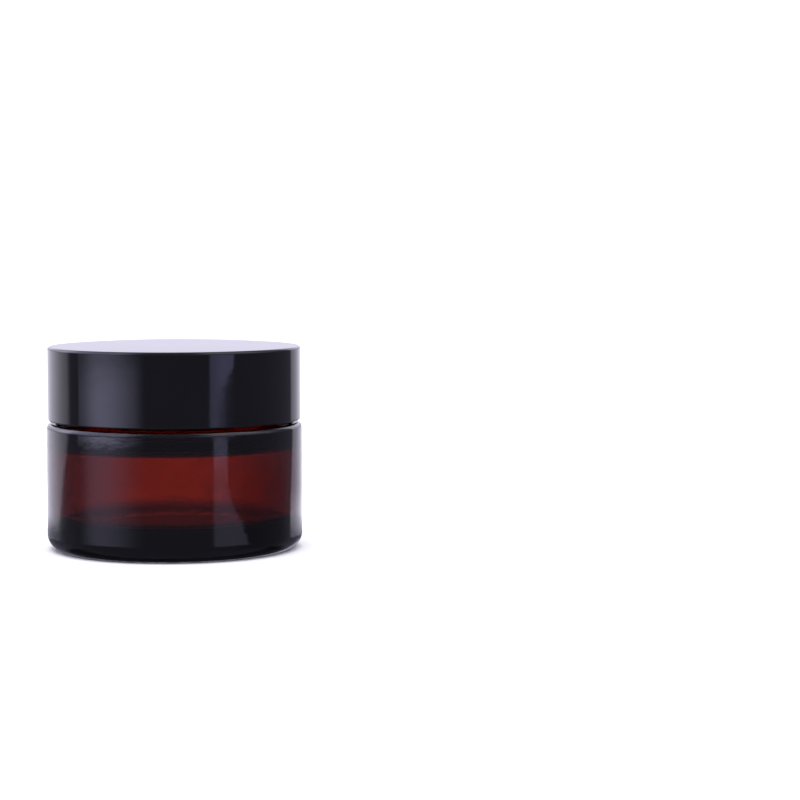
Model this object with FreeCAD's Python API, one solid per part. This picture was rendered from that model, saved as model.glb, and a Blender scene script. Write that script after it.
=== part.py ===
"""Cosmetic cream jar: amber glass jar, snap-in sealing disc and a double-walled screw lid.

Units are millimetres. +Z is up, the jar's axis is Z, and the origin is the centre of the
circle on which the jar stands. The lid is drawn fully screwed down.
"""

import FreeCAD, Part
import math
import os

V = FreeCAD.Vector
ORIGIN = V(0, 0, 0)
UP = V(0, 0, 1)

# ---- outside of the jar ----
BODY_RADIUS = 25.5          # glass
LID_RADIUS = 25.2
RIM_HEIGHT = 40.5           # where the lid's side meets its crowned top
CROWN_RISE = 1.0            # the top is a shallow dome
LID_SIDE = 14.7             # height of the lid's side
LID_GAP = 0.5               # daylight between the lid's rim and the glass shoulder

# ---- glass ----
WALL = 3.5
BASE_THICKNESS = 5.5
MOUTH_RADIUS = 18.2
NECK_RADIUS = 20.6          # root of the thread
HEEL_ROUND = 3.2
SHOULDER_ROUND = 1.1
NECK_FOOT_ROUND = 0.8
LIP_OUTER_ROUND = 0.8
LIP_INNER_ROUND = 0.5
THROAT_TOP_DROP = 1.8       # the bore starts to widen this far below the shoulder
THROAT_BOTTOM_DROP = 4.4    # and has its full width this far below the shoulder
THROAT_TOP_ROUND = 1.6
THROAT_BOTTOM_ROUND = 1.8
FLOOR_ROUND = 2.2
PUNT_HEIGHT = 0.8           # hollow under the base, inside the ring that the jar stands on
PUNT_RADIUS = 17.0
PUNT_ROUND = 1.5
STAND_RING_RADIUS = 19.0
STAND_RING_ROUND = 0.8

# ---- lid stack, from the top down ----
SHELL_WALL = 1.3
SHELL_TOP = 1.5
SHELL_EDGE_ROUND = 0.6
SHELL_RIM_ROUND = 0.3
SNAP_BEAD = 0.3             # lip inside the shell's rim that keeps the insert in
SNAP_BEAD_RISE = 0.5
CEILING_DOME_RADIUS = 20.6  # air space over the insert
CEILING_DOME_RISE = 0.7
INSERT_TOP = 1.2
INSERT_FLANGE = 0.8         # rings that centre the insert in the shell
INSERT_PLAY = 0.1
INSERT_RIM_RECESS = 0.6     # the insert ends this far inside the shell
SKIRT_WALL = 1.1
RIB_COUNT = 36
RIB_WIDTH = 0.7
GASKET_THICKNESS = 1.4
GASKET_PLAY = 0.05          # above and below the gasket
GASKET_SIDE_PLAY = 0.2
SMALL_ROUND = 0.3

# ---- sealing disc ----
FLANGE_THICKNESS = 0.8
FLANGE_INSET = 0.2          # flange edge inside the neck's outside
PLUG_DEPTH = 3.0
PLUG_PLAY = 0.15
DISC_WALL = 0.8
DISC_ROUND = 0.5
LUG_LENGTH = 11.0
LUG_WIDTH = 1.4
LUG_BELOW_FLANGE = 0.4
LUG_ROUND = 0.4

# ---- single-start right-hand thread ----
THREAD_PITCH = 4.2
GLASS_BEAD = {"height": 0.9, "root": 2.2, "crest": 0.9}
LID_BEAD = {"height": 0.75, "root": 1.6, "crest": 0.8}
THREAD_CLEARANCE = 0.3      # glass crest to the skirt's wall
BEAD_SINK = 0.3             # each bead's foot is buried this deep in its wall
FLANK_OFFSET = 1.5          # the lid's bead runs this far below the glass bead
GLASS_THREAD_RISE = 2.4     # first turn above the shoulder
GLASS_THREAD_TURN = 430.0   # degrees
LID_THREAD_START = 140.0    # degrees round from the start of the glass thread
LID_THREAD_TURN = 390.0

# ---- places that follow from the sizes above ----
LID_BOTTOM = RIM_HEIGHT - LID_SIDE
SHOULDER = LID_BOTTOM - LID_GAP
SHELL_CEILING = RIM_HEIGHT - SHELL_TOP
INSERT_CEILING = SHELL_CEILING - INSERT_TOP
INSERT_FOOT = LID_BOTTOM + INSERT_RIM_RECESS
GASKET_TOP = INSERT_CEILING - GASKET_PLAY
GASKET_BOTTOM = GASKET_TOP - GASKET_THICKNESS
DISC_TOP = GASKET_BOTTOM - GASKET_PLAY
MOUTH_TOP = DISC_TOP - FLANGE_THICKNESS
CHAMBER_RADIUS = BODY_RADIUS - WALL
SHELL_INNER = LID_RADIUS - SHELL_WALL
SKIRT_INNER = NECK_RADIUS + GLASS_BEAD["height"] + THREAD_CLEARANCE
SKIRT_OUTER = SKIRT_INNER + SKIRT_WALL
GLASS_THREAD_Z = SHOULDER + GLASS_THREAD_RISE


def outline(corners):
    """Closed wire in the XZ plane through (radius, height, round) corners.

    A corner whose round is not zero is replaced by an arc tangent to both its sides.
    """
    points = [V(radius, 0, z) for radius, z, _ in corners]
    entries, exits, arcs = [], [], []
    for i, (_, _, rounding) in enumerate(corners):
        here = points[i]
        back = (points[i - 1] - here).normalize()
        onward = (points[(i + 1) % len(points)] - here).normalize()
        half_angle = back.getAngle(onward) / 2
        reach = rounding / math.tan(half_angle)
        entries.append(here + back * reach)
        exits.append(here + onward * reach)
        if rounding:
            inward = (back + onward).normalize()
            middle = here + inward * (rounding / math.sin(half_angle) - rounding)
            arcs.append(Part.Arc(entries[i], middle, exits[i]).toShape())
        else:
            arcs.append(None)
    edges = []
    for i, arc in enumerate(arcs):
        if arc:
            edges.append(arc)
        edges.append(Part.LineSegment(exits[i], entries[(i + 1) % len(arcs)]).toShape())
    return Part.Wire(edges)


def turned(corners):
    """Solid of revolution about Z from (radius, height, round) corners."""
    return Part.Face(outline(corners)).revolve(ORIGIN, UP, 360)


def domed_cylinder(radius, bottom, rim, rise):
    """Cylinder whose top is a spherical dome that rises from the rim to the axis."""
    sphere_radius = (radius ** 2 + rise ** 2) / (2 * rise)
    half_way = math.sqrt(sphere_radius ** 2 - (radius / 2) ** 2)
    foot = V(0, 0, bottom)
    corner = V(radius, 0, bottom)
    edge = V(radius, 0, rim)
    middle = V(radius / 2, 0, rim + rise - sphere_radius + half_way)
    peak = V(0, 0, rim + rise)
    section = Part.Wire([
        Part.LineSegment(foot, corner).toShape(),
        Part.LineSegment(corner, edge).toShape(),
        Part.Arc(edge, middle, peak).toShape(),
        Part.LineSegment(peak, foot).toShape(),
    ])
    return Part.Face(section).revolve(ORIGIN, UP, 360)


def helical_bead(wall_radius, bead, outward, turn, start, start_z):
    """Thread bead of trapezium section on a cylindrical wall, over turn degrees from start."""
    side = 1 if outward else -1
    flank_slope = (bead["root"] - bead["crest"]) / 2 / bead["height"]
    half_foot = bead["root"] / 2 + flank_slope * BEAD_SINK
    half_crest = bead["crest"] / 2
    buried = wall_radius - side * BEAD_SINK
    proud = wall_radius + side * bead["height"]
    section = Part.makePolygon([
        V(buried, 0, -half_foot),
        V(proud, 0, -half_crest),
        V(proud, 0, half_crest),
        V(buried, 0, half_foot),
        V(buried, 0, -half_foot),
    ])
    helix = Part.Wire(Part.makeHelix(THREAD_PITCH, THREAD_PITCH * turn / 360, wall_radius).Edges)
    solid = helix.makePipeShell([section], True, True)
    if solid.Volume < 0:
        solid.reverse()
    solid.rotate(ORIGIN, UP, start)
    solid.translate(V(0, 0, start_z))
    return solid


def glass_jar():
    """Body with a heavy base, a square shoulder and a threaded neck."""
    body = turned([
        (0, PUNT_HEIGHT, 0),
        (PUNT_RADIUS, PUNT_HEIGHT, PUNT_ROUND),
        (STAND_RING_RADIUS, 0, STAND_RING_ROUND),
        (BODY_RADIUS, 0, HEEL_ROUND),
        (BODY_RADIUS, SHOULDER, SHOULDER_ROUND),
        (NECK_RADIUS, SHOULDER, NECK_FOOT_ROUND),
        (NECK_RADIUS, MOUTH_TOP, LIP_OUTER_ROUND),
        (MOUTH_RADIUS, MOUTH_TOP, LIP_INNER_ROUND),
        (MOUTH_RADIUS, SHOULDER - THROAT_TOP_DROP, THROAT_TOP_ROUND),
        (CHAMBER_RADIUS, SHOULDER - THROAT_BOTTOM_DROP, THROAT_BOTTOM_ROUND),
        (CHAMBER_RADIUS, BASE_THICKNESS, FLOOR_ROUND),
        (0, BASE_THICKNESS, 0),
    ])
    thread = helical_bead(NECK_RADIUS, GLASS_BEAD, True, GLASS_THREAD_TURN, 0, GLASS_THREAD_Z)
    return body.fuse(thread)


def sealing_disc():
    """Snap-in disc: a flange on the mouth, a plug inside it and a lug to pull it out by."""
    plug_radius = MOUTH_RADIUS - PLUG_PLAY
    flange_radius = NECK_RADIUS - FLANGE_INSET
    plug_bottom = MOUTH_TOP - PLUG_DEPTH
    floor_top = plug_bottom + DISC_WALL
    disc = turned([
        (0, plug_bottom, 0),
        (plug_radius, plug_bottom, DISC_ROUND),
        (plug_radius, MOUTH_TOP, 0),
        (flange_radius, MOUTH_TOP, 0),
        (flange_radius, DISC_TOP, SMALL_ROUND),
        (plug_radius - DISC_WALL, DISC_TOP, SMALL_ROUND),
        (plug_radius - DISC_WALL, floor_top, DISC_ROUND),
        (0, floor_top, 0),
    ])
    lug_top = DISC_TOP - LUG_BELOW_FLANGE
    lug_foot = floor_top - DISC_WALL / 2
    corner = V(-LUG_LENGTH / 2, -LUG_WIDTH / 2, lug_foot)
    lug = Part.makeBox(LUG_LENGTH, LUG_WIDTH, lug_top - lug_foot, corner)
    top_edges = [edge for edge in lug.Edges if edge.BoundBox.ZMin > lug_top - LUG_ROUND]
    return disc.fuse(lug.makeFillet(LUG_ROUND, top_edges))


def lid_gasket():
    """Foam wad that the lid presses on the sealing disc."""
    radius = SKIRT_INNER - GASKET_SIDE_PLAY
    return turned([
        (0, GASKET_BOTTOM, 0),
        (radius, GASKET_BOTTOM, SMALL_ROUND),
        (radius, GASKET_TOP, SMALL_ROUND),
        (0, GASKET_TOP, 0),
    ])


def lid_insert():
    """Threaded inner cap with two centring rings and ribs between them."""
    ring_radius = SHELL_INNER - INSERT_PLAY
    lower_ring_top = INSERT_FOOT + INSERT_FLANGE
    upper_ring_bottom = SHELL_CEILING - INSERT_FLANGE
    cap = turned([
        (0, INSERT_CEILING, 0),
        (SKIRT_INNER, INSERT_CEILING, SMALL_ROUND),
        (SKIRT_INNER, INSERT_FOOT, SMALL_ROUND),
        (ring_radius, INSERT_FOOT, SMALL_ROUND),
        (ring_radius, lower_ring_top, 0),
        (SKIRT_OUTER, lower_ring_top, 0),
        (SKIRT_OUTER, upper_ring_bottom, 0),
        (ring_radius, upper_ring_bottom, 0),
        (ring_radius, SHELL_CEILING, SMALL_ROUND),
        (0, SHELL_CEILING, 0),
    ])
    thread_z = GLASS_THREAD_Z - FLANK_OFFSET + THREAD_PITCH * LID_THREAD_START / 360
    thread = helical_bead(
        SKIRT_INNER, LID_BEAD, False, LID_THREAD_TURN, LID_THREAD_START, thread_z
    )
    ribs = []
    buried = SKIRT_WALL / 2
    for i in range(RIB_COUNT):
        rib = Part.makeBox(
            ring_radius - SKIRT_OUTER + buried - INSERT_PLAY,
            RIB_WIDTH,
            upper_ring_bottom - lower_ring_top + INSERT_FLANGE,
            V(SKIRT_OUTER - buried, -RIB_WIDTH / 2, lower_ring_top - INSERT_FLANGE / 2),
        )
        rib.rotate(ORIGIN, UP, 360 * i / RIB_COUNT)
        ribs.append(rib)
    return cap.fuse([thread] + ribs)


def lid_shell():
    """Outer lid with a crowned top and a snap lip inside its rim."""
    outside = domed_cylinder(LID_RADIUS, LID_BOTTOM, RIM_HEIGHT, CROWN_RISE)
    top_edge = [edge for edge in outside.Edges if abs(edge.BoundBox.ZMin - RIM_HEIGHT) < SNAP_BEAD]
    outside = outside.makeFillet(SHELL_EDGE_ROUND, top_edge)
    rim_edge = [edge for edge in outside.Edges if abs(edge.BoundBox.ZMax - LID_BOTTOM) < SNAP_BEAD]
    outside = outside.makeFillet(SHELL_RIM_ROUND, rim_edge)
    bore = turned([
        (0, LID_BOTTOM, 0),
        (SHELL_INNER, LID_BOTTOM, 0),
        (SHELL_INNER - SNAP_BEAD, LID_BOTTOM + SNAP_BEAD_RISE / 2, 0),
        (SHELL_INNER, LID_BOTTOM + SNAP_BEAD_RISE, 0),
        (SHELL_INNER, SHELL_CEILING, SMALL_ROUND),
        (0, SHELL_CEILING, 0),
    ])
    air_space = domed_cylinder(CEILING_DOME_RADIUS, LID_BOTTOM, SHELL_CEILING, CEILING_DOME_RISE)
    return outside.cut([bore, air_space])


PIECES = {
    "glass_jar": glass_jar,
    "sealing_disc": sealing_disc,
    "lid_gasket": lid_gasket,
    "lid_insert": lid_insert,
    "lid_shell": lid_shell,
}

os.makedirs("parts", exist_ok=True)
for name, make in PIECES.items():
    shape = make()
    print(f"{name}: valid {shape.isValid()}, {len(shape.Solids)} solid, {shape.Volume / 1000:.2f} cm3")
    shape.exportStep(f"parts/{name}.step")
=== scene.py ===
"""Looks of the cosmetic cream jar: amber glass, gloss black lid, foam wad and sealing disc.

Lengths in the profiles are in millimetres and become metres when a mesh is made.
Every piece is turned or moulded round the jar's axis, Z, in the CAD model's frame.
"""

import math

import bmesh
import bpy
import numpy as np
from mathutils import Matrix, Vector


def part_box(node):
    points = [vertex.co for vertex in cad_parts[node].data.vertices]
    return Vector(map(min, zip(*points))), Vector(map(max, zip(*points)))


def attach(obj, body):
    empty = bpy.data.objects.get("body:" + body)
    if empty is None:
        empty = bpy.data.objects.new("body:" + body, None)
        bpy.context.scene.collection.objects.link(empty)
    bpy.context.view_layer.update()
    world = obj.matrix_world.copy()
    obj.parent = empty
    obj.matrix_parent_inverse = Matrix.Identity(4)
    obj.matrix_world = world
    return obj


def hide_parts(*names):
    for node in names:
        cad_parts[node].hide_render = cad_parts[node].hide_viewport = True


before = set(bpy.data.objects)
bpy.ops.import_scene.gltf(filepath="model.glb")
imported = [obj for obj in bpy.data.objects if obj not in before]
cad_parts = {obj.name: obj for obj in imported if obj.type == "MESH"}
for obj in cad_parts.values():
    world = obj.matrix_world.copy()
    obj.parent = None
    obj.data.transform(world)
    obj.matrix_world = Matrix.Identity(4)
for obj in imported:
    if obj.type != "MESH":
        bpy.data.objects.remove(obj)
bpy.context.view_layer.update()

MM = 0.001
SEGMENTS = 288              # round the axis
ARC_STEP = 9.0              # degrees between points on a rounded corner
THREAD_STEP = 0.12          # height between points on a threaded wall


def node_size(node):
    """Outer radius, lowest and highest height of a CAD node, in millimetres."""
    low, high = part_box(node)
    return high.x / MM, low.z / MM, high.z / MM


BODY_R, _, MOUTH_Z = node_size("glass_jar")
LID_R, LID_Z, TOP_Z = node_size("lid_shell")
RING_R, INSERT_FOOT_Z, INSERT_TOP_Z = node_size("lid_insert")
WAD_R, WAD_LOW_Z, WAD_TOP_Z = node_size("lid_gasket")
DISC_R, DISC_LOW_Z, DISC_TOP_Z = node_size("sealing_disc")

# ---- sizes inside those boxes, the same as in the CAD source ----
SMALL_ROUND = 0.3

LID_GAP = 0.5               # daylight between the lid's rim and the glass shoulder
SHOULDER_Z = LID_Z - LID_GAP
NECK_R = 20.6
MOUTH_R = 18.2
CHAMBER_R = BODY_R - 3.5
FLOOR_Z = 5.5
HEEL_ROUND = 3.2
SHOULDER_ROUND = 1.1
NECK_ROUND = 0.8
LIP_INNER_ROUND = 0.5
THROAT_TOP = (1.8, 1.6)     # how far below the shoulder the bore starts to widen, and its rounding
THROAT_BOTTOM = (4.4, 1.8)  # how far below the shoulder it has its full width, and its rounding
FLOOR_ROUND = 2.2
PUNT = (17.0, 0.8, 1.5)     # hollow under the base: radius, height and rounding
STAND_RING = (19.0, 0.8)    # inner radius of the ring that the jar stands on, and its rounding

CROWN_RISE = 1.0            # the lid's top is a shallow dome
RIM_Z = TOP_Z - CROWN_RISE
SHELL_EDGE_ROUND = 0.6
SHELL_INNER_R = LID_R - 1.3
SNAP_BEAD = 0.3             # lip inside the shell's rim that keeps the inner cap in
SNAP_BEAD_RISE = 0.5
CEILING_DOME_R = 20.6       # air space over the inner cap
CEILING_DOME_RISE = 0.7
SKIRT_R = 21.8
SKIRT_OUTER_R = 22.9
CAP_RING = 0.8              # height of the two rings that centre the inner cap in the shell
CEILING_Z = INSERT_TOP_Z - 1.2
RIB_COUNT = 36
RIB_WIDTH = 0.7
RIB_PLAY = 0.1              # a rib ends this far inside the rings' edge, and this far into each ring
RIB_SINK = 0.3

PLUG_R = MOUTH_R - 0.15
DISC_WALL = 0.8
DISC_ROUND = 0.5
LUG_SIZE = (11.0, 1.4)
LUG_ROUND = 0.4
LUG_DROP = 0.4              # the lug's top is this far below the disc's, and its foot in the disc's floor

PITCH = 4.2
GLASS_THREAD = {"z": SHOULDER_Z + 2.4, "start": 0, "turn": 430, "height": 0.9, "root": 2.2, "crest": 0.9}
LID_THREAD = {"z": SHOULDER_Z + 0.9, "start": 140, "turn": 390, "height": 0.75, "root": 1.6, "crest": 0.8}


# ------------------------------------------------------------------ meshes

def rounded(corners):
    """Points and their two normals along an open profile of (radius, height, round) corners.

    The profile runs from the axis to the axis with the material on its left. A sharp corner
    has a different normal on each side of it.
    """
    points = [np.array(c[:2], float) for c in corners]
    way = [b - a for a, b in zip(points, points[1:])]
    way = [d / np.linalg.norm(d) for d in way]
    normals = [np.array([d[1], -d[0]]) for d in way]
    out = [(points[0], normals[0], normals[0])]
    for i in range(1, len(points) - 1):
        rounding = corners[i][2]
        before, after = normals[i - 1], normals[i]
        turn = math.acos(float(np.clip(way[i - 1] @ way[i], -1, 1)))
        if rounding == 0:
            if turn < math.radians(4):
                middle = (before + after) / np.linalg.norm(before + after)
                out.append((points[i], middle, middle))
            else:
                out.append((points[i], before, after))
            continue
        side = 1 if before @ way[i] < 0 else -1
        start = points[i] - way[i - 1] * rounding * math.tan(turn / 2)
        centre = start - before * rounding * side
        steps = max(2, math.ceil(math.degrees(turn) / ARC_STEP))
        for k in range(steps + 1):
            t = k / steps
            normal = before * math.sin((1 - t) * turn) + after * math.sin(t * turn)
            normal /= np.linalg.norm(normal)
            out.append((centre + normal * rounding * side, normal, normal))
    out.append((points[-1], normals[-1], normals[-1]))
    return out


def with_rows(profile, radius, step):
    """The profile with extra points on its straight walls at one radius."""
    out = []
    for (p, n0, n1), (q, m0, _) in zip(profile, profile[1:]):
        out.append((p, n0, n1))
        if abs(p[0] - radius) < 1e-6 and abs(q[0] - radius) < 1e-6:
            parts = max(1, round(abs(q[1] - p[1]) / step))
            out += [(p + (q - p) * k / parts, n1, n1) for k in range(1, parts)]
    out.append(profile[-1])
    return out


def dome(radius, rim, rise, steps):
    """Sharp profile corners down a spherical dome, from just inside its edge to just off the axis."""
    sphere = (radius ** 2 + rise ** 2) / (2 * rise)
    radii = [radius * k / steps for k in range(steps - 1, 0, -1)]
    return [(r, rim + rise - sphere + math.sqrt(sphere ** 2 - r ** 2), 0) for r in radii]


def bead_height(thread, angle, z):
    """How far a helical thread bead stands out of its wall, by angle in degrees and height."""
    total = np.zeros(np.broadcast(angle, z).shape)
    flank = (thread["root"] - thread["crest"]) / 2
    for lap in range(3):
        turned = angle + 360 * lap
        along = turned - thread["start"]
        inside = (along >= 0) & (along <= thread["turn"])
        off = np.abs(z - thread["z"] - PITCH * turned / 360)
        rise = np.clip((thread["root"] / 2 - off) / flank, 0, 1)
        rise = rise * rise * (3 - 2 * rise)
        run_out = np.clip(np.minimum(along, thread["turn"] - along) / 25, 0, 1) ** 0.5
        total = np.maximum(total, thread["height"] * rise * run_out * inside)
    return total


def lathe(name, profile, thread=None, wall_radius=0.0, outward=1):
    """Closed mesh turned from a profile, with an optional thread on its wall at one radius.

    The normals come from the profile, so that gloss and glass show no facets.
    """
    angles = np.arange(SEGMENTS) * 360.0 / SEGMENTS
    c, s = np.cos(np.radians(angles)), np.sin(np.radians(angles))
    radii = np.array([p[0] for p, _, _ in profile])
    heights = np.array([p[1] for p, _, _ in profile])
    r = np.repeat(radii[:, None], SEGMENTS, 1)
    z = np.repeat(heights[:, None], SEGMENTS, 1)
    proud = np.zeros(r.shape)
    if thread:
        wall = np.abs(radii - wall_radius) < 1e-6
        proud = bead_height(thread, angles[None, :], heights[:, None]) * wall[:, None]
    r = r + outward * proud
    xyz = np.stack([r * c, r * s, z], -1)
    both = []
    for side in (1, 2):
        flat = np.array([p[side] for p in profile])
        both.append(np.stack([flat[:, :1] * c, flat[:, :1] * s, np.repeat(flat[:, 1:], SEGMENTS, 1)], -1))
    if thread:
        down = np.gradient(xyz, axis=0)
        across = np.roll(xyz, -1, 1) - np.roll(xyz, 1, 1)
        bent = np.cross(across, down)
        bent /= np.maximum(np.linalg.norm(bent, axis=2, keepdims=True), 1e-12)
        bent *= np.sign(np.sum(bent * both[0], 2, keepdims=True))
        up = proud > 0
        near = up | np.roll(up, 1, 0) | np.roll(up, -1, 0) | np.roll(up, 1, 1) | np.roll(up, -1, 1)
        near &= wall[:, None]
        both = [np.where(near[..., None], bent, n) for n in both]
    verts, rows = [], []
    for i, radius in enumerate(radii):
        if radius < 1e-6:
            rows.append([len(verts)] * SEGMENTS)
            verts.append((0, 0, heights[i] * MM))
        else:
            rows.append(list(range(len(verts), len(verts) + SEGMENTS)))
            verts += [tuple(v) for v in xyz[i] * MM]
    faces, corner_normals = [], []
    for i in range(len(profile) - 1):
        for k in range(SEGMENTS):
            m = (k + 1) % SEGMENTS
            ring = [(i, k, 1), (i, m, 1), (i + 1, m, 0), (i + 1, k, 0)]
            face = []
            for row, column, side in ring:
                if rows[row][column] not in face:
                    face.append(rows[row][column])
                    corner_normals.append(tuple(both[side][row, column]))
            faces.append(face)
    mesh = bpy.data.meshes.new(name)
    mesh.from_pydata(verts, [], faces)
    mesh.polygons.foreach_set("use_smooth", [True] * len(faces))
    mesh.update()
    mesh.normals_split_custom_set(corner_normals)
    obj = bpy.data.objects.new(name, mesh)
    bpy.context.scene.collection.objects.link(obj)
    return obj


def block(name, size, centre, soften, angle=0.0):
    """Box with softened edges, its size and centre in millimetres, turned about Z by an angle."""
    bm = bmesh.new()
    bmesh.ops.create_cube(bm, size=1.0)
    bmesh.ops.scale(bm, vec=Vector(size) * MM, verts=bm.verts)
    bmesh.ops.bevel(bm, geom=bm.edges[:], offset=soften * MM, segments=3, profile=0.5, affect="EDGES")
    bmesh.ops.translate(bm, vec=Vector(centre) * MM, verts=bm.verts)
    bmesh.ops.rotate(bm, cent=(0, 0, 0), matrix=Matrix.Rotation(math.radians(angle), 3, "Z"), verts=bm.verts)
    mesh = bpy.data.meshes.new(name)
    bm.to_mesh(mesh)
    bm.free()
    mesh.polygons.foreach_set("use_smooth", [True] * len(mesh.polygons))
    obj = bpy.data.objects.new(name, mesh)
    bpy.context.scene.collection.objects.link(obj)
    return obj


def joined(pieces):
    """The pieces as one object, named after the first."""
    with bpy.context.temp_override(
        active_object=pieces[0], object=pieces[0], selected_editable_objects=pieces, selected_objects=pieces
    ):
        bpy.ops.object.join()
    return pieces[0]


# ------------------------------------------------------------------ materials

class Nodes:
    """A material's node tree, built a node at a time."""

    def __init__(self, name):
        self.material = bpy.data.materials.new(name)
        self.material.use_nodes = True
        self.tree = self.material.node_tree
        self.shader = self.tree.nodes["Principled BSDF"]
        self.output = self.tree.nodes["Material Output"]

    def add(self, kind, inputs=None, **settings):
        node = self.tree.nodes.new(kind)
        for key, value in settings.items():
            setattr(node, key, value)
        for key, value in (inputs or {}).items():
            self.put(node.inputs[key], value)
        return node

    def put(self, socket, value):
        if isinstance(value, bpy.types.NodeSocket):
            self.tree.links.new(value, socket)
        else:
            socket.default_value = value

    def math(self, operation, *values, clamp=False):
        node = self.add("ShaderNodeMath", operation=operation, use_clamp=clamp)
        for socket, value in zip(node.inputs, values):
            self.put(socket, value)
        return node.outputs[0]

    def place(self):
        """Position on the object, in metres."""
        return self.add("ShaderNodeTexCoord").outputs["Object"]

    def noise(self, scale, detail=3.0, roughness=0.5, vector=None):
        inputs = {"Vector": vector or self.place(), "Scale": scale, "Detail": detail, "Roughness": roughness}
        return self.add("ShaderNodeTexNoise", inputs).outputs["Fac"]

    def between(self, factor, low, high):
        """A number from low to high as the factor goes from 0.3 to 0.7, where noise lives."""
        inputs = {"Value": factor, "From Min": 0.3, "From Max": 0.7, "To Min": low, "To Max": high}
        return self.add("ShaderNodeMapRange", inputs).outputs[0]

    def mix(self, factor, first, second):
        node = self.add("ShaderNodeMix", data_type="RGBA")
        self.put(node.inputs["Factor"], factor)
        self.put(node.inputs["A"], first)
        self.put(node.inputs["B"], second)
        return node.outputs["Result"]

    def bump(self, height, distance, strength=1.0, under=None):
        inputs = {"Height": height, "Distance": distance, "Strength": strength}
        if under:
            inputs["Normal"] = under
        return self.add("ShaderNodeBump", inputs).outputs[0]


def amber_glass():
    """Deep amber soda glass: the colour is in its depth, the skin is fire-polished."""
    n = Nodes("amber_glass")
    n.put(n.shader.inputs["Transmission Weight"], 1.0)
    n.put(n.shader.inputs["IOR"], 1.52)
    tint = n.mix(n.between(n.noise(90), 0, 1), (1.0, 0.985, 0.96, 1), (0.985, 0.95, 0.90, 1))
    n.put(n.shader.inputs["Base Color"], tint)
    n.put(n.shader.inputs["Roughness"], n.between(n.noise(160, 4), 0.0, 0.012))
    x, y, z = n.add("ShaderNodeSeparateXYZ", {"Vector": n.place()}).outputs
    reach = n.math("SQRT", n.math("ADD", n.math("MULTIPLY", x, x), n.math("MULTIPLY", y, y)))
    outside = n.math("GREATER_THAN", reach, (BODY_R - 1) * MM)
    # the mould leaves the outside slightly wavy, and the plunger leaves the inside smooth
    flow = n.add("ShaderNodeMapping", {"Vector": n.place(), "Scale": (1, 1, 0.45)}).outputs[0]
    waves = n.bump(n.math("MULTIPLY", n.noise(70, 1.5, vector=flow), outside), 0.00006)
    fine = n.bump(n.math("MULTIPLY", n.noise(420, 2), outside), 0.000006, under=waves)
    seam = n.math("SUBTRACT", 1.0, n.math("DIVIDE", n.math("ABSOLUTE", y), 0.00025), clamp=True)
    parting = n.bump(n.math("MULTIPLY", seam, outside), 0.00003, under=fine)
    # the ring that the jar stands on is dimpled
    cells = {"Vector": n.place(), "Scale": 900.0}
    dimples = n.add("ShaderNodeTexVoronoi", cells, feature="SMOOTH_F1").outputs["Distance"]
    on_ring = n.math("LESS_THAN", z, 0.0001)
    n.put(n.shader.inputs["Normal"], n.bump(n.math("MULTIPLY", dimples, on_ring), 0.0004, under=parting))
    depth = n.add("ShaderNodeVolumeAbsorption")
    depth.inputs["Color"].default_value = (0.674, 0.338, 0.0, 1)
    depth.inputs["Density"].default_value = 1300.0
    n.put(n.output.inputs["Volume"], depth.outputs[0])
    return n.material


def scratches(n, scale, width):
    """Sparse hairlines in two directions, 1 on a hairline and 0 beside it."""
    lines = []
    for angle in (0.4, 2.1):
        stretch = {"Vector": n.place(), "Rotation": (0.9, 0.6, angle), "Scale": (1, 0.12, 0.12)}
        turned = n.add("ShaderNodeMapping", stretch).outputs[0]
        cells = {"Vector": turned, "Scale": scale, "Randomness": 1.0}
        far = n.add("ShaderNodeTexVoronoi", cells, feature="DISTANCE_TO_EDGE").outputs["Distance"]
        lines.append(n.math("LESS_THAN", far, width))
    sparse = n.math("GREATER_THAN", n.noise(120, 2), 0.58)
    return n.math("MULTIPLY", n.math("MAXIMUM", *lines), sparse)


def gloss_black():
    """Polished black moulding with faint orange peel and hairlines from handling."""
    n = Nodes("gloss_black_plastic")
    colour = n.mix(n.between(n.noise(60), 0, 1), (0.0008, 0.0008, 0.0010, 1), (0.0014, 0.0013, 0.0017, 1))
    n.put(n.shader.inputs["Base Color"], colour)
    n.put(n.shader.inputs["IOR"], 1.5)
    hairlines = scratches(n, 700, 0.007)
    cloud = n.between(n.noise(45, 4), 0.05, 0.10)
    n.put(n.shader.inputs["Roughness"], n.math("ADD", cloud, n.math("MULTIPLY", hairlines, 0.04)))
    peel = n.bump(n.noise(260, 1.5), 0.000010)
    sink = n.bump(n.noise(55, 1), 0.0001, under=peel)
    n.put(n.shader.inputs["Normal"], n.bump(hairlines, 0.000001, 0.3, under=sink))
    return n.material


def satin_black():
    """Black inner moulding with a fine spark-eroded grain."""
    n = Nodes("black_plastic")
    colour = n.mix(n.between(n.noise(80), 0, 1), (0.012, 0.012, 0.013, 1), (0.020, 0.020, 0.021, 1))
    n.put(n.shader.inputs["Base Color"], colour)
    n.put(n.shader.inputs["Roughness"], n.between(n.noise(900, 4), 0.34, 0.52))
    n.put(n.shader.inputs["Normal"], n.bump(n.noise(5200, 2), 0.00001))
    return n.material


def white_foam():
    """Closed-cell white foam with its skin."""
    n = Nodes("white_foam")
    cells = n.add("ShaderNodeTexVoronoi", {"Vector": n.place(), "Scale": 2600.0}).outputs["Distance"]
    # the colour is darker where the cells dip, following the bump: painted shade in the cell hollows
    colour = n.mix(cells, (0.80, 0.80, 0.77, 1), (0.90, 0.90, 0.87, 1))
    n.put(n.shader.inputs["Base Color"], colour)
    n.put(n.shader.inputs["Roughness"], n.between(n.noise(300, 3), 0.55, 0.75))
    n.put(n.shader.inputs["Normal"], n.bump(cells, 0.00004))
    return n.material


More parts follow.
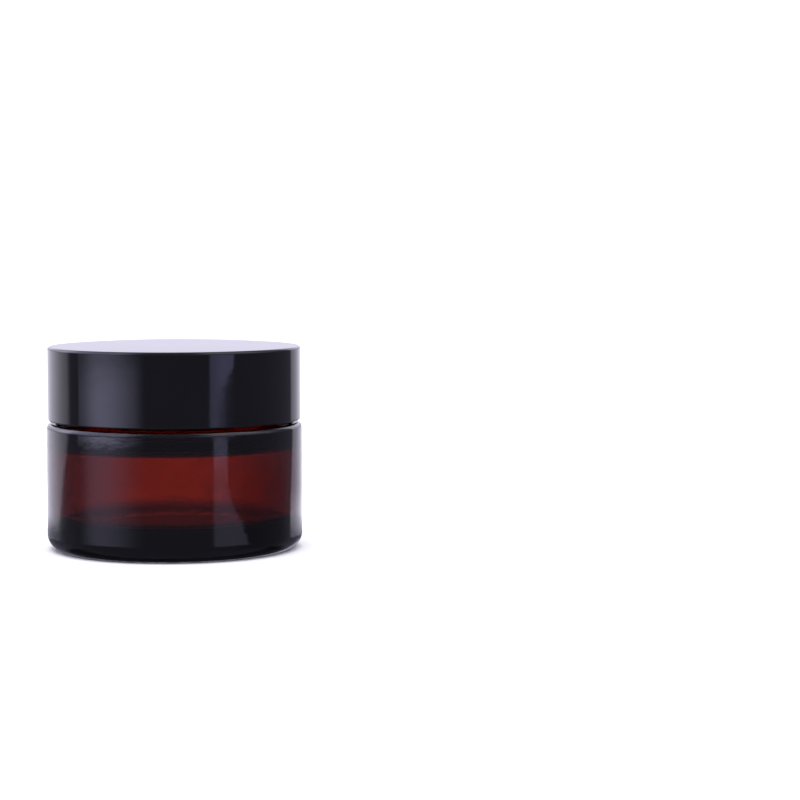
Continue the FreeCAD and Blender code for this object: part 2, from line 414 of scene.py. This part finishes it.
def white_plastic():
    """Slightly milky moulded plastic with faint flow marks out from its gate."""
    n = Nodes("white_plastic")
    colour = n.mix(n.between(n.noise(50), 0, 1), (0.80, 0.80, 0.78, 1), (0.87, 0.87, 0.85, 1))
    n.put(n.shader.inputs["Base Color"], colour)
    n.put(n.shader.inputs["Subsurface Weight"], 0.15)
    n.put(n.shader.inputs["Subsurface Radius"], (0.002, 0.002, 0.002))
    n.put(n.shader.inputs["Roughness"], n.between(n.noise(220, 4), 0.30, 0.46))
    rings = {"Vector": n.place(), "Scale": 60.0, "Distortion": 3.0, "Detail": 2.0}
    flow = n.add("ShaderNodeTexWave", rings, wave_type="RINGS").outputs["Fac"]
    grain = n.bump(n.noise(3000, 2), 0.000006)
    n.put(n.shader.inputs["Normal"], n.bump(flow, 0.00001, under=grain))
    return n.material


# ------------------------------------------------------------------ pieces

def glass_jar():
    """Body with a heavy base, a square shoulder and a threaded neck."""
    punt_r, punt_z, punt_round = PUNT
    ring_r, ring_round = STAND_RING
    top_drop, top_round = THROAT_TOP
    bottom_drop, bottom_round = THROAT_BOTTOM
    profile = rounded([
        (0, punt_z, 0),
        (punt_r, punt_z, punt_round),
        (ring_r, 0, ring_round),
        (BODY_R, 0, HEEL_ROUND),
        (BODY_R, SHOULDER_Z, SHOULDER_ROUND),
        (NECK_R, SHOULDER_Z, NECK_ROUND),
        (NECK_R, MOUTH_Z, NECK_ROUND),
        (MOUTH_R, MOUTH_Z, LIP_INNER_ROUND),
        (MOUTH_R, SHOULDER_Z - top_drop, top_round),
        (CHAMBER_R, SHOULDER_Z - bottom_drop, bottom_round),
        (CHAMBER_R, FLOOR_Z, FLOOR_ROUND),
        (0, FLOOR_Z, 0),
    ])
    return lathe("jar_glass", with_rows(profile, NECK_R, THREAD_STEP), GLASS_THREAD, NECK_R)


def lid_shell():
    """Outer lid with a crowned top and a snap lip inside its rim."""
    return lathe("lid_outer_shell", rounded([
        (0, INSERT_TOP_Z + CEILING_DOME_RISE, 0),
        *reversed(dome(CEILING_DOME_R, INSERT_TOP_Z, CEILING_DOME_RISE, 12)),
        (CEILING_DOME_R, INSERT_TOP_Z, 0),
        (SHELL_INNER_R, INSERT_TOP_Z, SMALL_ROUND),
        (SHELL_INNER_R, LID_Z + SNAP_BEAD_RISE, 0),
        (SHELL_INNER_R - SNAP_BEAD, LID_Z + SNAP_BEAD_RISE / 2, 0),
        (SHELL_INNER_R, LID_Z, 0),
        (LID_R, LID_Z, SMALL_ROUND),
        (LID_R, RIM_Z, SHELL_EDGE_ROUND),
        *dome(LID_R, RIM_Z, CROWN_RISE, 20),
        (0, TOP_Z, 0),
    ]))


def lid_insert():
    """Threaded inner cap with two centring rings and ribs between them."""
    lower_ring_top = INSERT_FOOT_Z + CAP_RING
    upper_ring_foot = INSERT_TOP_Z - CAP_RING
    profile = rounded([
        (0, CEILING_Z, 0),
        (SKIRT_R, CEILING_Z, SMALL_ROUND),
        (SKIRT_R, INSERT_FOOT_Z, SMALL_ROUND),
        (RING_R, INSERT_FOOT_Z, SMALL_ROUND),
        (RING_R, lower_ring_top, 0),
        (SKIRT_OUTER_R, lower_ring_top, 0),
        (SKIRT_OUTER_R, upper_ring_foot, 0),
        (RING_R, upper_ring_foot, 0),
        (RING_R, INSERT_TOP_Z, SMALL_ROUND),
        (0, INSERT_TOP_Z, 0),
    ])
    cap = lathe("lid_inner_cap", with_rows(profile, SKIRT_R, THREAD_STEP), LID_THREAD, SKIRT_R, -1)
    depth = RING_R - SKIRT_OUTER_R + RIB_SINK
    size = (depth, RIB_WIDTH, upper_ring_foot - lower_ring_top + 2 * RIB_PLAY)
    centre = (RING_R - RIB_PLAY - depth / 2, 0, (INSERT_TOP_Z + INSERT_FOOT_Z) / 2)
    ribs = [block(f"rib_{i}", size, centre, 0.12, 360 / RIB_COUNT * i) for i in range(RIB_COUNT)]
    return joined([cap] + ribs)


def lid_wad():
    """Foam wad that the lid presses on the sealing disc."""
    return lathe("lid_wad", rounded([
        (0, WAD_LOW_Z, 0),
        (WAD_R, WAD_LOW_Z, SMALL_ROUND),
        (WAD_R, WAD_TOP_Z, SMALL_ROUND),
        (0, WAD_TOP_Z, 0),
    ]))


def sealing_disc():
    """Snap-in disc: a flange on the mouth, a plug inside it and a lug to pull it out by."""
    floor_z = DISC_LOW_Z + DISC_WALL
    disc = lathe("sealing_disc_moulding", rounded([
        (0, DISC_LOW_Z, 0),
        (PLUG_R, DISC_LOW_Z, DISC_ROUND),
        (PLUG_R, MOUTH_Z, 0),
        (DISC_R, MOUTH_Z, 0),
        (DISC_R, DISC_TOP_Z, SMALL_ROUND),
        (PLUG_R - DISC_WALL, DISC_TOP_Z, SMALL_ROUND),
        (PLUG_R - DISC_WALL, floor_z, DISC_ROUND),
        (0, floor_z, 0),
    ]))
    height = DISC_TOP_Z - floor_z
    lug = block("lug", (*LUG_SIZE, height), (0, 0, floor_z - LUG_DROP + height / 2), LUG_ROUND)
    return joined([disc, lug])


for make, body, node, slot, material in [
    (glass_jar, "jar", "glass_jar", "amber_glass", amber_glass),
    (sealing_disc, "disc", "sealing_disc", "white_plastic", white_plastic),
    (lid_wad, "wad", "lid_gasket", "white_foam", white_foam),
    (lid_insert, "lid", "lid_insert", "black_plastic", satin_black),
    (lid_shell, "lid", "lid_shell", "gloss_black_plastic", gloss_black),
]:
    piece = make()
    piece.data.materials.clear()
    piece.data.materials.append(material())
    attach(piece, body)
    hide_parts(node)


# ------------------------------------------------------------------ studio

# The studio is a dark room with soft-edged lights, as the gloss of the lid and the glass sees it.
# Directions are degrees round the jar from the camera's side, minus to the left, and degrees up.
ROOM, CLOTH = (1.0, 0.97, 1.35), (1.0, 0.97, 1.13)
LEFT_WINDOW, RIGHT_WINDOW = (1.0, 0.98, 1.43), (1.0, 0.99, 1.8)
ROOM_LEVEL = 0.17
# Each light's tint, level, left edge, right edge, foot and head, and how ragged its right edge is.
# A side edge is its direction, half the width of its softness and, where it leans, how far it
# moves for each degree below a height. Foot and head are where it is dark, full, full and dark.
LIGHTS = [
    # white cloth behind the jar: over the lid, then below it, where its near edge sweeps back
    (CLOTH, 0.755, (131, 2), (250, 4), (-0.5, 1, 30, 50), 0),
    (CLOTH, 0.62, (131, 2, 2.0, -4.2), (250, 4, 6, -4.2), (-7.3, -6.6, -0.5, 1), 0),
    (CLOTH, 0.50, (147, 17), (236, 16), (-7.3, -6.6, -0.5, 1), 0),
    (CLOTH, 0.22, (127, 6), (236, 8), (-10.5, -9.5, -7.3, -6.6), 0),
    (CLOTH, 0.40, (126, 2), (172, 12), (-7.7, -7.1, -6.8, -5.6), 0),
    # window front left: its pane, brightest to the left, and its light on the table
    (LEFT_WINDOW, 0.40, (-95.5, 1.3), (-32, 7), (-4.6, -4.1, -2.9, 0.8), 0),
    (LEFT_WINDOW, 0.98, (-81.5, 12.5), (-47, 20), (-4.6, -4.1, -2.9, 0.8), 0),
    (LEFT_WINDOW, 0.52, (-84, 12), (-45, 20), (-9.0, -7.4, -2.9, 0.8), 0),
    # narrow window front right, behind something ragged, and its light on the table
    (RIGHT_WINDOW, 0.55, (31.5, 1.5), (54, 1.2, 9.0, -1.8), (-4.1, -3.8, 2, 6), 6.0),
    (RIGHT_WINDOW, 0.24, (39, 6), (54, 1.2, 9.0, -1.8), (-4.1, -3.8, 2, 6), 6.0),
    (RIGHT_WINDOW, 0.28, (34, 1.5), (47, 1.5), (-5.3, -4.8, -4.1, -3.8), 0),
    (LEFT_WINDOW, 0.36, (34, 2), (47, 1.5, -12.0, -5.8), (-9.0, -7.9, -4.1, -3.8), 0),
    # dim daylight over the tops of things, left and right
    (LEFT_WINDOW, 0.90, (-130, 15), (-45, 15), (1, 12, 55, 75), 0),
    (CLOTH, 0.75, (38, 8), (105, 10), (30, 42, 70, 85), 0),
    (CLOTH, 0.35, (20, 12), (105, 10), (8, 20, 30, 42), 0),
    # a large soft light overhead, behind the jar, and a strip of light on the table behind it
    (CLOTH, 0.55, (110, 25), (250, 25), (55, 68, 80, 90), 0),
    (CLOTH, 0.45, (158, 7), (184, 7), (-26, -21, -14, -11), 0),
    # the table close behind the jar, in its shadow, and dark things on the table to the right
    (ROOM, -0.13, (105, 12), (255, 12), (-91, -90, -34, -26), 0),
    (ROOM, -0.05, (60, 6), (115, 8), (-40, -30, -5.5, -4.5), 0),
]
DOME_RADIUS = 1.3
SKYWARD = (0.08, 0.35, 2.5)  # between these heights the studio gets brighter, by this much a metre


def fade(n, value, start, end):
    """From 0 to 1, softly, as the value goes from start to end."""
    inputs = {"Value": value, "From Min": start, "From Max": end}
    return n.add("ShaderNodeMapRange", inputs, interpolation_type="SMOOTHSTEP").outputs[0]


def side(n, across, up, edge, middle, inward):
    """1 inside a light's side edge and 0 outside it; inward is 1 for a left edge, -1 for a right."""
    direction, soft = edge[:2]
    past = n.math("SUBTRACT", across, direction - middle)
    if len(edge) > 2:
        lean, top = edge[2:]
        below = n.math("MINIMUM", n.math("SUBTRACT", up, top), 0.0)
        past = n.math("SUBTRACT", past, n.math("MULTIPLY", below, lean))
    return fade(n, past, -soft * inward, soft * inward)


def studio():
    """Closed dome, lit by the lights, that only reflections see."""
    bm = bmesh.new()
    bmesh.ops.create_icosphere(bm, subdivisions=5, radius=DOME_RADIUS)
    mesh = bpy.data.meshes.new("studio")
    bm.to_mesh(mesh)
    bm.free()
    dome_obj = bpy.data.objects.new("studio", mesh)
    bpy.context.scene.collection.objects.link(dome_obj)
    n = Nodes("studio")
    x, y, z = n.add("ShaderNodeSeparateXYZ", {"Vector": n.place()}).outputs
    around = n.math("DEGREES", n.math("ARCTAN2", x, n.math("MULTIPLY", y, -1.0)))
    up = n.math("DEGREES", n.math("ARCSINE", n.math("DIVIDE", z, DOME_RADIUS)))
    rough = n.math("SUBTRACT", n.noise(28, 3), 0.5)
    total = tuple(ROOM_LEVEL * channel for channel in ROOM)
    for tint, level, left, right, (foot, full_foot, full_head, head), ragged in LIGHTS:
        middle = (left[0] + right[0]) / 2
        across = n.math("WRAP", n.math("SUBTRACT", around, middle), 180.0, -180.0)
        right_across = n.math("MULTIPLY_ADD", rough, ragged, across) if ragged else across
        sides = n.math(
            "MULTIPLY", side(n, across, up, left, middle, 1), side(n, right_across, up, right, middle, -1)
        )
        ends = n.math("MULTIPLY", fade(n, up, foot, full_foot), fade(n, up, head, full_head))
        colour = tuple(level * channel for channel in tint)
        summed = n.add("ShaderNodeVectorMath", operation="MULTIPLY_ADD")
        for socket, value in zip(summed.inputs, (colour, n.math("MULTIPLY", sides, ends), total)):
            n.put(socket, value)
        total = summed.outputs[0]
    low, high, gain = SKYWARD
    above = n.math("SUBTRACT", n.math("MINIMUM", n.math("MAXIMUM", z, low), high), low)
    glow = n.add("ShaderNodeEmission", {"Color": total, "Strength": n.math("MULTIPLY_ADD", above, gain, 1.0)})
    n.put(n.output.inputs["Surface"], glow.outputs[0])
    mesh.materials.append(n.material)
    for kind in ("camera", "diffuse", "transmission", "shadow", "volume_scatter"):
        setattr(dome_obj, "visible_" + kind, False)


def floor():
    """Plain pale floor, a hair below the jar; reflections see the studio's own table instead."""
    size, drop = 5.0, -0.00003
    mesh = bpy.data.meshes.new("floor")
    corners = [(x * size, y * size, drop) for x, y in ((-1, -1), (1, -1), (1, 1), (-1, 1))]
    mesh.from_pydata(corners, [], [(0, 1, 2, 3)])
    obj = bpy.data.objects.new("floor", mesh)
    bpy.context.scene.collection.objects.link(obj)
    n = Nodes("floor")
    n.put(n.shader.inputs["Base Color"], n.mix(n.noise(3), (0.90, 0.90, 0.90, 1), (0.92, 0.92, 0.92, 1)))
    n.put(n.shader.inputs["Roughness"], 0.8)
    n.put(n.shader.inputs["Specular IOR Level"], 0.0)
    mesh.materials.append(n.material)
    obj.visible_glossy = False


def softbox(name, place, aim, size, power, spread=180.0):
    """Rectangular area light that is itself never seen."""
    lamp = bpy.data.lights.new(name, "AREA")
    lamp.shape = "RECTANGLE"
    lamp.size, lamp.size_y = size
    lamp.energy = power
    lamp.spread = math.radians(spread)
    obj = bpy.data.objects.new(name, lamp)
    bpy.context.scene.collection.objects.link(obj)
    obj.location = place
    obj.rotation_euler = (Vector(aim) - Vector(place)).to_track_quat("-Z", "Y").to_euler()
    obj.visible_camera = False
    obj.visible_glossy = False
    obj.visible_transmission = False


studio()
floor()
softbox("overhead", (-0.1, -0.1, 1.3), (0, 0, 0.02), (1.4, 1.4), 14)
# a narrow pool of light on the table behind the jar, which the glass shows as a glow in its middle
softbox("background", (0, 0.19, 0.35), (0, 0.19, 0), (0.05, 0.28), 0.06, spread=15)

world = bpy.data.worlds.new("studio")
bpy.context.scene.world = world
world.use_nodes = True
world.node_tree.nodes["Background"].inputs["Color"].default_value = (1.0, 0.98, 1.12, 1)
world.node_tree.nodes["Background"].inputs["Strength"].default_value = 1.2

# the camera stands a little above the lid, half a metre away, and looks past the jar's right side
camera = bpy.data.objects.new("camera", bpy.data.cameras.new("camera"))
bpy.context.scene.collection.objects.link(camera)
camera.location = (0, -0.4794, 0.0659)
camera.rotation_euler = (math.pi / 2 - 0.0759, 0, -0.0943)
camera.data.lens = 107.5
camera.data.clip_start = 0.01
bpy.context.scene.camera = camera

bpy.context.scene.view_settings.view_transform = "Standard"
bpy.context.scene.view_settings.look = "None"
